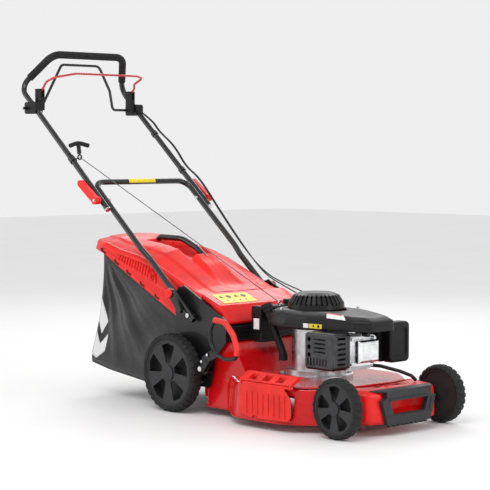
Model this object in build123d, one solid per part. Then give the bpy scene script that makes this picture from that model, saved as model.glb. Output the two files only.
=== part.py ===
"""Self-propelled petrol lawn mower with a folding handle, a grass bag and a side discharge door.

Millimetres, +X towards the front, +Y to the mower's left, +Z up, wheels standing on Z = 0.
All X positions below are measured from the rear axle; save() shifts the finished pieces so that
the origin lies under the middle of the whole machine.
"""

import math
import os

from build123d import *

# ---- driving dimensions -------------------------------------------------------------------
REAR_R = 140.0
FRONT_R = 100.0
WHEELBASE = 819.0
WHEEL_OUT = 278.0
REAR_WHEEL_IN = 228.0
FRONT_WHEEL_IN = 235.0
AXLE_R = 6.0
RUNNING = 0.05  # radial clearance of pins and shafts
CRANK_X = 472.0
RIM_Z = 28.0
DECK_TOP = 150.0
DECK_HALF = 296.0
LIP = 6.0
SHEET = 3.0
TUNNEL_HALF = 196.0
TUNNEL_ROOF = 262.0
TUNNEL_REAR = 112.0
BRACKET_IN = 206.0
BRACKET_OUT = 210.0
PIVOT = (67.0, 348.0)  # lower handle pivot, X and Z
HANDLE_ANGLE = math.radians(40.63)
TUBE_R = 11.0
TUBE_WALL = 1.5
LOWER_FOOT_Y = 224.0
LOWER_Y = 232.0
UPPER_Y = 255.0
CAM_S = 614.0  # distance of the fold joint up the handle from the lower pivot
CROSSBAR_S = 715.0
BAIL_AXIS = (-838.0, 1098.0)
BRAKE_AXIS = (-815.0, 1155.0)
DRIVE_WIRE_R = 5.5
BRAKE_WIRE_R = 4.4
REAR_ARM = (120.0, 115.0)
FRONT_ARM = (716.0, 75.0)
LEVER_PIVOT = (158.0, 168.0)
LEVER_Y = -262.0
FLAP_HINGE = (222.0, 330.0)
DOOR_HINGE = (-294.0, 152.0)  # Y and Z
DOOR_X = (402.0, 648.0)
COWL_LOW = 331.0
BLADE_Z = 64.0
BLADE_R = 250.0
CENTRE_SHIFT = -10.13  # moves the origin under the middle of the whole machine

REAR_AXLE = (0.0, REAR_R)
FRONT_AXLE = (WHEELBASE, FRONT_R)
SIDES = (-1, 1)


# ---- helpers --------------------------------------------------------------------------------
def save(name, *pieces):
    """Writes one node, moved so that the origin is under the middle of the machine."""
    solids = [solid for piece in pieces for solid in piece.solids()]
    shape = solids[0] if len(solids) == 1 else Compound(children=solids)
    export_step(Pos(CENTRE_SHIFT, 0, 0) * shape, f"parts/{name}.step")


def block(x0, x1, y0, y1, z0, z1):
    """A box between two corners."""
    size = (abs(x1 - x0), abs(y1 - y0), abs(z1 - z0))
    return Pos((x0 + x1) / 2, (y0 + y1) / 2, (z0 + z1) / 2) * Box(*size)


def rod(start, end, radius):
    """A round bar between two points."""
    start = Vector(*start)
    along = Vector(*end) - start
    plane = Plane(origin=start, z_dir=along)
    return extrude(plane * Circle(radius), amount=along.length)


def rod_y(centre, y0, y1, radius):
    """A round bar along Y at an (X, Z) centre."""
    return rod((centre[0], y0, centre[1]), (centre[0], y1, centre[1]), radius)


def rod_z(x, y, z0, z1, radius):
    """A round bar along Z."""
    return rod((x, y, z0), (x, y, z1), radius)


def outline(points, radius=0.0):
    """A closed face through points in one plane, with rounded corners where radius is given."""
    if not hasattr(radius, "__len__") and radius == 0:
        return Face(Wire.make_polygon([Vector(*p) for p in points], close=True))
    return Face(Wire(FilletPolyline(*points, radius=radius, close=True).edges()))


def slab_y(points, y0, y1, radius=0.0):
    """An (X, Z) outline, solid from y0 to y1."""
    face = outline([(x, y0, z) for x, z in points], radius)
    return extrude(face, amount=y1 - y0, dir=(0, 1, 0))


def slab_z(points, z0, z1, radius=0.0):
    """An (X, Y) outline, solid from z0 to z1."""
    face = outline([(x, y, z0) for x, y in points], radius)
    return extrude(face, amount=z1 - z0, dir=(0, 0, 1))


def slab_x(points, x0, x1, radius=0.0):
    """A (Y, Z) outline, solid from x0 to x1."""
    face = outline([(x0, y, z) for y, z in points], radius)
    return extrude(face, amount=x1 - x0, dir=(1, 0, 0))


def bent_bar(points, bends, radius, hollow=0.0):
    """A round bar or tube along straight runs joined by arcs."""
    path = FilletPolyline(*points, radius=bends) if len(points) > 2 else Line(*points)
    section = Plane(origin=path @ 0, z_dir=path % 0) * Circle(radius)
    if hollow:
        section -= Plane(origin=path @ 0, z_dir=path % 0) * Circle(hollow)
    return sweep(section, path=path)


def handle_point(distance, y=0.0, off=0.0):
    """A point on the handle's side line, a distance up from the lower pivot, off it at right angles."""
    along = (-math.cos(HANDLE_ANGLE), math.sin(HANDLE_ANGLE))
    across = (math.sin(HANDLE_ANGLE), math.cos(HANDLE_ANGLE))
    x = PIVOT[0] + along[0] * distance + across[0] * off
    z = PIVOT[1] + along[1] * distance + across[1] * off
    return (x, y, z)


def both_sides(piece):
    """A piece of the right side and its mirror image on the left."""
    return [piece, mirror(piece, about=Plane.XZ)]


# ---- deck -----------------------------------------------------------------------------------
def deck_outline(grow, rear):
    """The deck seen from above, grown by an amount, with its rear wall at a given X."""
    neck = BRACKET_IN - 2 + grow
    wide = DECK_HALF + grow
    nose = 770 + grow
    half = [(rear, -neck), (250, -neck), (372, -wide), (618, -wide), (752 + grow, -172), (nose, -60)]
    points = half + [(x, -y) for x, y in reversed(half)]
    bends = [32, 70, 150, 180, 100, 120]
    return points, bends + bends[::-1]


def drum(grow, rear, low, high):
    """The blade chamber's outer form, slightly tapered towards the top."""
    points, bends = deck_outline(grow, rear)
    face = outline([(x, y, low) for x, y in points], bends)
    return extrude(face, amount=high - low, taper=5)


def tunnel(grow, rear, low):
    """The raised discharge tunnel behind the engine."""
    roof = TUNNEL_ROOF + grow
    points = [(rear, low), (rear, roof), (236, roof), (288 + grow, 218 + grow)]
    points += [(338 + grow, DECK_TOP + grow - 8), (338 + grow, low)]
    return slab_y(points, -TUNNEL_HALF - grow, TUNNEL_HALF + grow)


def deck_shell():
    """Pressed steel deck, open below and at the rear, with a side discharge opening."""
    lip_points, lip_bends = deck_outline(LIP, TUNNEL_REAR)
    lip = slab_z(lip_points, RIM_Z, RIM_Z + SHEET, lip_bends)
    outer = drum(0, TUNNEL_REAR, RIM_Z, DECK_TOP)
    outer = fillet(outer.edges().group_by(Axis.Z)[-1], 16)
    outer = outer + lip + tunnel(0, TUNNEL_REAR, 60)
    hollow = drum(-SHEET, TUNNEL_REAR + SHEET, RIM_Z - 1, DECK_TOP - SHEET)
    hollow += tunnel(-SHEET, TUNNEL_REAR - 5, 63)
    shell = outer - hollow
    shell -= rod_z(CRANK_X, 0, DECK_TOP - 20, DECK_TOP + 20, 40)
    shell -= block(418, 632, -DECK_HALF - 20, -240, 50, 122)
    return shell


def front_cover():
    """Nose cover, open below and behind, slotted for the front axle."""
    plan = [(738, -202), (800, -190), (868, -166), (884, -120)]
    plan += [(x, -y) for x, y in reversed(plan)]
    inner = [(725, -199), (799, -187), (866, -163), (881, -118)]
    inner += [(x, -y) for x, y in reversed(inner)]
    shell = slab_z(plan, 42, 146) - slab_z(inner, 30, 143)
    deck_points, deck_bends = deck_outline(LIP + 1, TUNNEL_REAR)
    shell -= slab_z(deck_points, 20, DECK_TOP + 10, deck_bends)
    shell -= block(806, 834, -260, 260, 20, 112)
    shell -= block(860, 890, -92, 92, 72, 122)
    return shell


def front_bumper():
    """Dark bumper frame with the hand opening, and the visor above it."""
    frame = slab_x([(-106, 38), (-132, 118), (-96, 134), (96, 134), (132, 118), (106, 38)], 884.3, 902)
    frame -= slab_x([(-78, 72), (-94, 116), (94, 116), (78, 72)], 870, 910)
    for tooth in range(9):
        y = -88 + 22 * tooth
        frame += block(886, 898, y - 6, y + 6, 31, 39)
    visor = slab_z([(858, -150), (902, -112), (902, 112), (858, 150)], 146.3, 151)
    web = slab_z([(884.3, -110), (902, -110), (902, 110), (884.3, 110)], 130, 150)
    return frame + web + visor


def side_brackets():
    """Two side plates that carry the handle, the flap and the rear axle arms."""
    points = [(-14, 443), (14, 448), (237, 338), (237, 262), (182, 205), (152, 96), (92, 96)]
    points += [(62, 190), (-20, 300), (-40, 405)]
    plate = slab_y(points, -BRACKET_OUT, -BRACKET_IN, 8)
    plate -= rod_y(FLAP_HINGE, -220, -200, 3)
    plate -= rod_y(PIVOT, -220, -200, 4)
    plate -= rod_y(REAR_ARM, -220, -200, 5)
    rim = slab_y([(14, 448), (16, 452), (241, 341), (237, 338)], -BRACKET_OUT - 2.4, -BRACKET_IN)
    return both_sides(plate + rim)


def rear_crossbars():
    """Black bars and grooved plate that join the brackets under the flap."""
    plate = block(231, 236, -205, 205, 266, 318)
    for z in (270, 284, 298, 312):
        plate += block(236, 241, -205, 205, z, z + 5)
    bar = rod((70, -205.9, 300), (70, 205.9, 300), 5)
    return [plate, bar]


def rear_chute():
    """Duct between the deck tunnel and the mouth of the bag."""
    outer = block(56, TUNNEL_REAR - 0.3, -200, 200, 182, TUNNEL_ROOF)
    return outer - block(40, 130, -196, 196, 186, TUNNEL_ROOF - 4)


def door_bracket():
    """Slotted flange that carries the side door's hinge pin."""
    points = [(-300, 159), (-300, 163), (-262, 186), (-246, 186), (-246, 180), (-286, 159)]
    flange = slab_x(points, *DOOR_X)
    for x in (440, 505, 570):
        flange -= block(x, x + 36, -296, -268, 140, 200)
    for x in DOOR_X:
        inward = 9 if x == DOOR_X[0] else -9
        lug = block(x, x + inward, -300, -288, 146, 160)
        flange += lug - rod((x - 10, *DOOR_HINGE), (x + 10, *DOOR_HINGE), 2)
    return flange - drum(0.3, TUNNEL_REAR, RIM_Z, DECK_TOP)


def side_door():
    """Ribbed door over the side discharge opening, hanging from its pin."""
    left, right = DOOR_X
    points = [(left, 140), (left, 44), (left + 60, 36), (left + 66, 44), (left + 84, 44)]
    points += [(left + 90, 36), (right - 14, 40), (right, 56), (right, 112), (right - 24, 138)]
    plate = slab_y(points, -299.5, -297)
    for step in range(8):
        x = left + 32 + 26 * step
        plate += block(x, x + 5, -302, -299, 50, 124)
    knuckle = rod((left + 12, *DOOR_HINGE), (right - 12, *DOOR_HINGE), 5)
    plate += knuckle + block(left + 12, right - 30, -299, -296.5, 136, 150)
    return plate - rod((left, *DOOR_HINGE), (right, *DOOR_HINGE), 2 + RUNNING)


def hinge_pins():
    """Flap pin, door pin, handle pivots and the pins of the four axle arms."""
    pins = [rod_y(FLAP_HINGE, -BRACKET_OUT, BRACKET_OUT, 3)]
    pins.append(rod((DOOR_X[0], *DOOR_HINGE), (DOOR_X[1], *DOOR_HINGE), 2))
    for side in SIDES:
        pins.append(rod_y(PIVOT, side * BRACKET_IN, side * 238, 4) + rod_y(PIVOT, side * 236, side * 241, 8))
        pins.append(rod_y(REAR_ARM, side * BRACKET_IN, side * 223, 5))
        pins.append(rod_y(FRONT_ARM, side * 206, side * 229, 5))
    pins.append(rod_y(LEVER_PIVOT, -247, -261, 5) + rod_y(LEVER_PIVOT, -258, -264, 9))
    return pins


def height_quadrant():
    """Notched plate beside the deck that the height lever locks into."""
    points = [(147, 156), (152, 144), (176, 150), (196, 190), (210, 216), (190, 232), (150, 206)]
    plate = slab_y(points, -247, -243)
    foot = block(150, 176, -243.5, -210.1, 152, 158)
    for step in range(5):
        angle = math.radians(62 + 13 * step)
        x = LEVER_PIVOT[0] + 62 * math.cos(angle)
        z = LEVER_PIVOT[1] + 62 * math.sin(angle)
        plate -= rod_y((x, z), -250, -240, 4)
    lip_points, lip_bends = deck_outline(LIP + 0.2, TUNNEL_REAR)
    under = slab_z(lip_points, 50, 100, lip_bends)
    front = [block(704, 734, side * 188, side * 206, 60, 90) - under for side in SIDES]
    return [plate + foot] + front


# ---- engine ---------------------------------------------------------------------------------
def crankcase():
    """Aluminium crankcase on its base flange."""
    case = rod_z(CRANK_X, 0, DECK_TOP, 162, 129) + rod_z(CRANK_X, 0, 160, 178, 106)
    case += rod_z(CRANK_X, 0, 176, 318, 85)
    case += block(CRANK_X, 566, -62, 62, 196, 312)
    case -= rod_z(CRANK_X, 0, 168, 310, 76)
    for step in range(4):
        angle = math.radians(45 + 90 * step)
        x = CRANK_X + 116 * math.cos(angle)
        y = 116 * math.sin(angle)
        case -= rod_z(x, y, 140, 170, 4)
    return case - rod_z(CRANK_X, 0, 140, 330, 12.5 + RUNNING)


def cylinder_block():
    """Air-cooled cylinder with cooling fins."""
    block_core = block(566.3, 716, -80, -10, 222, 288)
    for step in range(12):
        x = 576 + 12 * step
        block_core += block(x, x + 3, -104, 16, 198, 312)
    return block_core + block(708, 720, -108, 20, 206, 314)


def cylinder_head_cover():
    """Rocker cover on the front of the cylinder head."""
    cover = block(720.3, 730, -106, 18, 214, 312)
    cover += fillet(block(729, 764, -92, 6, 226, 302).edges().group_by(Axis.X)[-1], 10)
    for y, z in ((-98, 222), (-98, 304), (10, 222), (10, 304)):
        cover += rod((728, y, z), (738, y, z), 6)
    return cover


def spark_plug():
    """Spark plug with its rubber boot."""
    return rod((764.5, -62, 316), (764.5, -62, 322), 7) + rod((752, -62, 322), (776, -62, 322), 8)


def muffler():
    """Exhaust box inside its guard."""
    can = fillet(block(614, 720, -172, -122, 222, 314).edges().filter_by(Axis.Y), 12)
    pipe = rod((660, -122, 260), (660, -108.5, 260), 14)
    return can + pipe - block(617, 717, -169, -125, 225, 311)


def muffler_guard():
    """Slotted cage around the exhaust."""
    guard = fillet(block(602, 736, -190, -110, 205, 329).edges().filter_by(Axis.Y), 14)
    guard = fillet(guard.faces().sort_by(Axis.Y)[0].edges(), 8)
    guard -= block(605, 733, -187, -100, 208, 326)
    for row in range(4):
        guard -= block(648, 700, -200, -180, 262 + 14 * row, 268 + 14 * row)
    for column in range(7):
        guard -= block(616 + 14 * column, 622 + 14 * column, -200, -180, 218, 244)
    for z in (254, 280, 306):
        guard -= rod((624, -200, z), (624, -180, z), 8)
    for row in range(6):
        guard -= block(725, 745, -170, -132, 222 + 17 * row, 230 + 17 * row)
    return guard


def carburettor():
    """Carburettor between the cylinder and the air filter."""
    body = block(612, 652, 20, 56, 236, 284) + rod((632, 17, 260), (632, 60, 260), 16)
    return body + rod_z(632, 38, 216, 238, 14)


def air_filter_box():
    """Air filter housing and its front cover."""
    body = fillet(block(600, 704, 60.5, 178, 214, 329).edges().filter_by(Axis.X), 14)
    cover = fillet(block(705, 742, 84, 184, 211, 350).edges().filter_by(Axis.X), 18)
    cover = fillet(cover.faces().sort_by(Axis.X)[-1].edges(), 8)
    cover -= fillet(block(738, 750, 100, 168, 234, 328).edges().filter_by(Axis.X), 10)
    return [body - block(604, 700, 64, 174, 218, 325), cover]


def fuel_tank():
    """Fuel tank behind the cowl, with its filler cap."""
    tank = fillet(block(264, 312, -112, 96, 300, 388).edges().filter_by(Axis.Y), 10)
    tank += fillet(block(268, 310, -108, -30, 262, 304).edges().filter_by(Axis.Z), 8)
    tank -= block(267, 309, -109, 93, 303, 385)
    cap = rod_z(288, 50, 388, 404, 20)
    for step in range(12):
        angle = math.radians(30 * step)
        cap += rod_z(288 + 19 * math.cos(angle), 50 + 19 * math.sin(angle), 390, 402, 3)
    return [tank, cap]


FILLER_TOP = Vector(337, -106, 384)
FILLER_FOOT = Vector(404, -92, 226)


def oil_filler_tube():
    """Oil filler neck from the crankcase to the dipstick."""
    direction = (FILLER_TOP - FILLER_FOOT).normalized()
    tube = rod(FILLER_FOOT, FILLER_TOP, 13) - rod(FILLER_FOOT + direction * 8, FILLER_TOP + direction, 9)
    mouth = rod(FILLER_TOP - direction * 12, FILLER_TOP, 17)
    mouth -= rod(FILLER_TOP - direction * 14, FILLER_TOP + direction, 9)
    foot = block(392, 416, -104, -84, 206, 228) - rod_z(CRANK_X, 0, 200, 240, 85.3)
    return tube + mouth + foot


def oil_dipstick():
    """Screw cap with grip wings and the measuring blade below it."""
    direction = (FILLER_TOP - FILLER_FOOT).normalized()
    base = FILLER_TOP + direction * 0.4
    cap = rod(base, base + direction * 14, 20) + rod(base - direction * 10, base, 8.6)
    for step in range(8):
        angle = math.radians(45 * step)
        ring = Plane(origin=base, z_dir=direction)
        point = ring.from_local_coords(Vector(19 * math.cos(angle), 19 * math.sin(angle), 0))
        cap += rod(point, point + direction * 14, 2)
    return cap + rod(base - direction * 120, base, 2.5)


def cowl_plan(inset):
    """The cowl seen from above, drawn in by an amount, with the radius of each corner."""
    back = 326 + inset
    front = 800 - inset
    points = [(back, -146 + inset), (560, -142 + inset), (745, -112 + inset), (front, -70 + inset)]
    points += [(front, 40 - inset), (745, 66 - inset), (600, 118 - inset), (back, 146 - inset)]
    return points, [126 - inset, 90, 40, 16, 16, 40, 90, 126 - inset]


def engine_cowl():
    """Blower housing with its nose over the cylinder."""
    points, bends = cowl_plan(0)
    outer = slab_z(points, COWL_LOW, 388, bends)
    points, bends = cowl_plan(4)
    hollow = slab_z(points, COWL_LOW - 10, 384, bends)
    cowl = outer - hollow
    cowl -= rod_z(CRANK_X, 0, 370, 400, 86)
    cowl += rod_z(366, -72, 386, 392, 8)
    along = FILLER_TOP - FILLER_FOOT
    return cowl - rod(FILLER_FOOT, FILLER_TOP + along * 0.3, 20)


def recoil_cover():
    """Domed recoil starter cover with cooling slots all round."""
    profile = [(0, 443), (58, 443), (80, 434), (97, 408), (99, 388.3)]
    profile += [(95, 388.3), (93, 407), (77, 431), (57, 439), (0, 439)]
    face = outline([(r, 0, z) for r, z in profile])
    dome = Pos(CRANK_X, 0, 0) * revolve(face, axis=Axis.Z, revolution_arc=360)
    for step in range(32):
        angle = 360 / 32 * step
        slot = Pos(CRANK_X, 0, 0) * Rot(0, 0, angle) * block(72, 110, -3, 3, 402, 436)
        dome -= slot
    return dome


def fasteners():
    """Flange bolts, cover screws and the steel eye of the starter rope."""
    bolts = []
    for step in range(4):
        angle = math.radians(45 + 90 * step)
        x = CRANK_X + 116 * math.cos(angle)
        y = 116 * math.sin(angle)
        head = Pos(x, y, 162.2) * extrude(RegularPolygon(8, 6), amount=6)
        bolts.append(rod_z(x, y, DECK_TOP + 0.2, 164, 4 - RUNNING) + head)
    for x, y in ((430, -128), (585, 92)):
        bolts.append(rod_z(x, y, 388.2, 394, 5))
    eye = Pos(366, -72, 403) * Rot(0, 90, 12) * Torus(7.5, 2.5)
    return bolts + [eye + rod_z(366, -72, 392.3, 396, 5)]


def support_rod():
    """Bent black rod from under the cylinder head to the front of the deck."""
    points = [(684, 26, 206), (726, 50, 204), (770, 100, 186), (798, 130, 170), (802, 146, 154)]
    return bent_bar(points, [30, 40, 20], 6)


# ---- rotating group -------------------------------------------------------------------------
def crankshaft():
    """Vertical crankshaft from the blade to the flywheel."""
    return rod_z(CRANK_X, 0, 80, 372, 12.5)


def flywheel():
    """Flywheel with fan blades, under the cowl."""
    wheel = rod_z(CRANK_X, 0, 334, 348, 110)
    for step in range(16):
        blade = Pos(CRANK_X, 0, 0) * Rot(0, 0, 22.5 * step) * block(66, 108, -1.5, 1.5, 347, 368)
        wheel += blade
    return wheel - rod_z(CRANK_X, 0, 320, 360, 12.5)


def blade_adapter():
    """Boss that clamps the blade, with the drive pulley above it and the blade bolt."""
    boss = rod_z(CRANK_X, 0, BLADE_Z + 4, 100, 26) + rod_z(CRANK_X, 0, 100, 106, 20)
    pulley = rod_z(CRANK_X, 0, 109, 121, 26)
    pulley += rod_z(CRANK_X, 0, 106, 110, 34) + rod_z(CRANK_X, 0, 120, 124, 34)
    bolt = rod_z(CRANK_X, 0, BLADE_Z - 9, 79.7, 6)
    head = Pos(CRANK_X, 0, BLADE_Z - 9) * extrude(RegularPolygon(11, 6), amount=9)
    return [boss + pulley - rod_z(CRANK_X, 0, 79.8, 140, 12.5) - rod_z(CRANK_X, 0, 60, 80, 6), bolt + head]


def blade():
    """Cutting blade with lifted tail wings."""
    bar = block(CRANK_X - BLADE_R + 12, CRANK_X + BLADE_R - 12, -28, 28, BLADE_Z, BLADE_Z + 4)
    bar = bar & rod_z(CRANK_X, 0, BLADE_Z - 1, BLADE_Z + 5, BLADE_R)
    for turn in (0, 180):
        wing = slab_x([(28, BLADE_Z), (28, BLADE_Z + 4), (14, BLADE_Z + 4), (14, BLADE_Z)], 150, 236)
        tail = slab_x([(24, BLADE_Z), (42, BLADE_Z + 20), (42, BLADE_Z + 24), (24, BLADE_Z + 4)], 170, 232)
        bar += Pos(CRANK_X, 0, 0) * Rot(0, 0, turn) * (wing + tail)
    return bar - rod_z(CRANK_X, 0, 50, 80, 6)


# ---- wheels and axles -----------------------------------------------------------------------
def tyre(side, centre, radius, inside, width):
    """Tyre with rounded shoulders, on a flat rim seat."""
    seat = radius * 0.84
    half = width / 2
    profile = [(seat, -half), (radius - 9, -half), (radius - 2, -half + 7), (radius, -half + 13)]
    profile += [(r, -v) for r, v in reversed(profile)]
    ring = revolve(outline([(r, 0, v) for r, v in profile]), axis=Axis.Z, revolution_arc=360)
    y = side * (inside + half)
    return Pos(centre[0], y, centre[1]) * Rot(90, 0, 0) * ring


def rim(side, centre, radius, inside, width):
    """Rim with five pockets in its outer face, a closed floor and a blind hub."""
    seat = radius * 0.84
    out = inside + width
    band = rod_y(centre, side * (inside + 3), side * (out - 3), seat)
    band -= rod_y(centre, side * inside, side * out, seat - 6)
    floor = rod_y(centre, side * (inside + 8), side * (inside + 12), seat - 5)
    face = rod_y(centre, side * (out - 11), side * (out - 5), seat - 5)
    inner_r = radius * 0.26
    outer_r = radius * 0.735
    for step in range(5):
        middle = math.radians(72 * step + 18)
        spread = math.radians(20)
        window = []
        corners = ((inner_r, -1.0), (outer_r, -1.0), (outer_r * 1.04, 0), (outer_r, 1.0), (inner_r, 1.0))
        for r, turn in corners:
            narrow = spread if r > inner_r else spread * 0.8
            angle = middle + narrow * turn
            window.append((centre[0] + r * math.cos(angle), centre[1] + r * math.sin(angle)))
        face -= slab_y(window, side * (out - 20), side * out, radius * 0.03)
    hub = rod_y(centre, side * (inside + 2), side * (out - 1), radius * 0.17)
    bore = rod_y(centre, side * (inside - 5), side * (out - 8), AXLE_R + RUNNING)
    return band + floor + face + hub - bore


def rear_axle():
    """Rear axle rod with its two swing arms."""
    axle = rod_y(REAR_AXLE, -268, 268, AXLE_R)
    for side in SIDES:
        axle += axle_arm(side, REAR_AXLE, REAR_ARM, 213, 218)
        axle -= rod_y(REAR_ARM, side * 200, side * 226, 5 + RUNNING)
    return axle


def front_axle():
    """Front axle rod with its two swing arms."""
    axle = rod_y(FRONT_AXLE, -268, 268, AXLE_R)
    for side in SIDES:
        axle += axle_arm(side, FRONT_AXLE, FRONT_ARM, 221, 226)
        axle -= rod_y(FRONT_ARM, side * 200, side * 232, 5 + RUNNING)
    return axle


def axle_arm(side, axle, pivot, inner, outer):
    """A flat arm with round ends, from the axle to its pivot."""
    direction = Vector(pivot[0] - axle[0], 0, pivot[1] - axle[1]).normalized()
    across = Vector(direction.Z, 0, -direction.X) * 10
    corners = []
    for centre, sign in ((axle, 1), (pivot, 1), (pivot, -1), (axle, -1)):
        corners.append((centre[0] + sign * across.X, centre[1] + sign * across.Z))
    y0, y1 = sorted((side * inner, side * outer))
    return slab_y(corners, y0, y1) + rod_y(axle, y0, y1, 14) + rod_y(pivot, y0, y1, 12)


def gearbox():
    """Drive gearbox clamped around the rear axle, with its input pulley."""
    case = fillet(block(-42, 40, -46, 46, 104, 178).edges().filter_by(Axis.Y), 16)
    case += rod_z(24, 0, 108, 84, 10) + rod_z(24, 0, 92, 82, 30)
    return case - rod_y(REAR_AXLE, -60, 60, AXLE_R + 0.1)


# ---- height lever ---------------------------------------------------------------------------
LEVER_FRAME = [(236, 345), (214, 312), (217, 262), (246, 226), (292, 212), (338, 219), (348, 232)]
LEVER_ARC = [(236, 345), (288, 341), (330, 302), (353, 252), (348, 232)]


def height_lever():
    """Lever strap and the D-shaped grip frame, with its two rivets."""
    strap = slab_y([(146, 160), (168, 156), (238, 238), (224, 252)], LEVER_Y + 4, LEVER_Y + 8)
    strap += rod_y(LEVER_PIVOT, LEVER_Y + 4, LEVER_Y + 8, 13)
    strap -= rod_y(LEVER_PIVOT, LEVER_Y - 5, LEVER_Y + 12, 5 + RUNNING)
    frame = bent_bar([(x, LEVER_Y, z) for x, z in LEVER_FRAME], [22, 30, 30, 30, 8], 7)
    foot = slab_y([(196, 208), (212, 200), (262, 222), (234, 250)], LEVER_Y - 6, LEVER_Y + 4)
    rivets = rod_y((206, 218), LEVER_Y - 9, LEVER_Y, 4) + rod_y((230, 238), LEVER_Y - 9, LEVER_Y, 4)
    return strap + frame + foot + rivets


def height_lever_grip():
    """Soft red grip on the front of the lever."""
    path = [(x, LEVER_Y, z) for x, z in LEVER_ARC]
    grip = bent_bar(path, [24, 40, 8], 10)
    frame = bent_bar([(x, LEVER_Y, z) for x, z in LEVER_FRAME], [22, 30, 30, 30, 8], 7)
    return grip - frame


# ---- flap -----------------------------------------------------------------------------------
def rear_flap():
    """Hinged cover over the discharge tunnel, resting over the front of the bag."""
    profile = [(102, 425), (196, 389), (228, 334), (224, 328), (192, 384.5), (101, 420.5)]
    flap = slab_y(profile, -200, 200)
    for side in SIDES:
        outline = [(104, 424), (196, 388), (224, 336), (214, 336), (150, 388), (104, 408)]
        cheek = slab_y(outline, side * 197, side * 200)
        flap += cheek
    flap += rod_y(FLAP_HINGE, -198, 198, 7)
    return flap - rod_y(FLAP_HINGE, -205, 205, 3 + RUNNING)


# ---- grass bag ------------------------------------------------------------------------------
LID_SLOPE = 248.0 / 502.0


def lid_lower(x):
    """Height of the lid's lower edge at an X."""
    if x < -456:
        return 548.5 - 0.15 * (x + 456)
    return 300 + (46 - x) * LID_SLOPE


def lid_form(inset):
    """The lid's outer form, or the hollow inside it."""
    stations = [(-566, 120, 24, 6), (-540, 165, 32, 14), (-466, 203, 34, 24), (-380, 203, 52, 30)]
    stations += [(-184, 203, 112, 44), (-60, 203, 122, 30), (46, 203, 132, 8), (97, 203, 146, 4)]
    sections = []
    for x, half, side_height, crown in stations:
        x += inset if x < -500 else 0
        x -= inset if x > 90 else 0
        low = lid_lower(min(x, 46)) - (inset > 0)
        if x > 60:
            low += 40
        shoulder = lid_lower(x) + side_height - inset
        w = half - inset
        points = [(x, -w, low), (x, -w, shoulder), (x, -0.6 * w, shoulder + 0.7 * crown)]
        points += [(x, 0, shoulder + crown)]
        points += [(x, -y, z) for _, y, z in reversed(points[:3])]
        sections.append(outline(points))
    return loft(sections, ruled=True)


def bag_lid():
    """Hard upper shell of the grass bag, with the recess under its handle."""
    recess = [(-372, 700), (-372, 566), (-352, 548), (-130, 500), (-112, 520), (-112, 700)]
    recess_wall = [(-375, 700), (-375, 564), (-353, 545), (-129, 497), (-109, 518), (-109, 700)]
    outer = lid_form(0) - slab_y(recess, -66, 66)
    hollow = lid_form(SHEET) - slab_y(recess_wall, -69, 69)
    shell = outer - hollow
    for step in range(15):
        x = -420 + 15 * step
        z = lid_lower(x) + 16
        shell -= block(x, x + 5, -210, -195, z, z + 26)
        shell -= block(x, x + 5, 195, 210, z, z + 26)
    return shell


def bag_fabric():
    """Fabric body of the grass bag, open at its mouth and under the lid."""
    outer = [(44, 312), (44, 188), (-60, 188), (-92, 96), (-226, 80), (-438, 108), (-561, 128), (-486, 350)]
    outer += [(-470, 550)]
    inner = [(60, 330), (60, 192), (-63, 192), (-95, 100), (-226, 84), (-438, 112), (-556, 132), (-482, 350)]
    inner += [(-468, 590), (60, 330)]
    body = slab_y(outer, -199, 199, [1, 1, 20, 30, 60, 60, 12, 90, 3])
    return body - slab_y(inner[:-1], -196, 196)


def bag_frame():
    """Frame around the bag's mouth."""
    frame = block(44.5, 51, -199, 199, 188, 300) - block(40, 55, -188, 188, 198, 291)
    return frame


def bag_handle():
    """Arched carrying handle over the lid's recess."""
    points = [(-386, 0, 585), (-356, 0, 604), (-230, 0, 602), (-150, 0, 570), (-98, 0, 533)]
    bar = bent_bar(points, [24, 120, 60], 11)
    return bar - lid_form(0) - lid_form(SHEET)


# ---- handles --------------------------------------------------------------------------------
def lower_handle_path():
    """Centre line of the lower handle, from the right foot over the crossbar to the left foot."""
    right = [handle_point(-25, -LOWER_FOOT_Y), handle_point(290, -LOWER_FOOT_Y)]
    right += [handle_point(345, -LOWER_Y), handle_point(CROSSBAR_S, -LOWER_Y)]
    left = [(x, -y, z) for x, y, z in reversed(right)]
    return right + left, [60, 60, 46, 46, 60, 60]


def lower_handle():
    """Lower U-shaped handle tube, drilled for its pivots and for the fold bolts."""
    points, bends = lower_handle_path()
    tube = bent_bar(points, bends, TUBE_R, TUBE_R - TUBE_WALL)
    fold = handle_point(CAM_S)
    for side in SIDES:
        tube -= rod_y(PIVOT, side * 205, side * 245, 4 + RUNNING)
        tube -= rod_y((fold[0], fold[2]), side * 218, side * 244, 4 + RUNNING)
    return tube


ELBOW = Vector(-905, -UPPER_Y, 1182)
GRIP = Vector(-797, -175, 1309)


def upper_handle_path():
    """Centre line of the upper handle, from the right end round the grip to the left end."""
    right = [Vector(*handle_point(565, -UPPER_Y)), ELBOW, GRIP]
    left = [Vector(v.X, -v.Y, v.Z) for v in reversed(right)]
    return right + left


def upper_handle():
    """Upper handle tube, drilled for the fold bolts."""
    tube = bent_bar(upper_handle_path(), [45, 58, 58, 45], TUBE_R, TUBE_R - TUBE_WALL)
    fold = handle_point(CAM_S)
    for side in SIDES:
        tube -= rod_y((fold[0], fold[2]), side * 240, side * 270, 4)
    return tube


def foam_grip():
    """Foam sleeve around the grip and its arms."""
    start = ELBOW + (GRIP - ELBOW).normalized() * 52
    points = [start, GRIP, Vector(GRIP.X, -GRIP.Y, GRIP.Z), Vector(start.X, -start.Y, start.Z)]
    return bent_bar(points, [58, 58], 14.7, TUBE_R)


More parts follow.
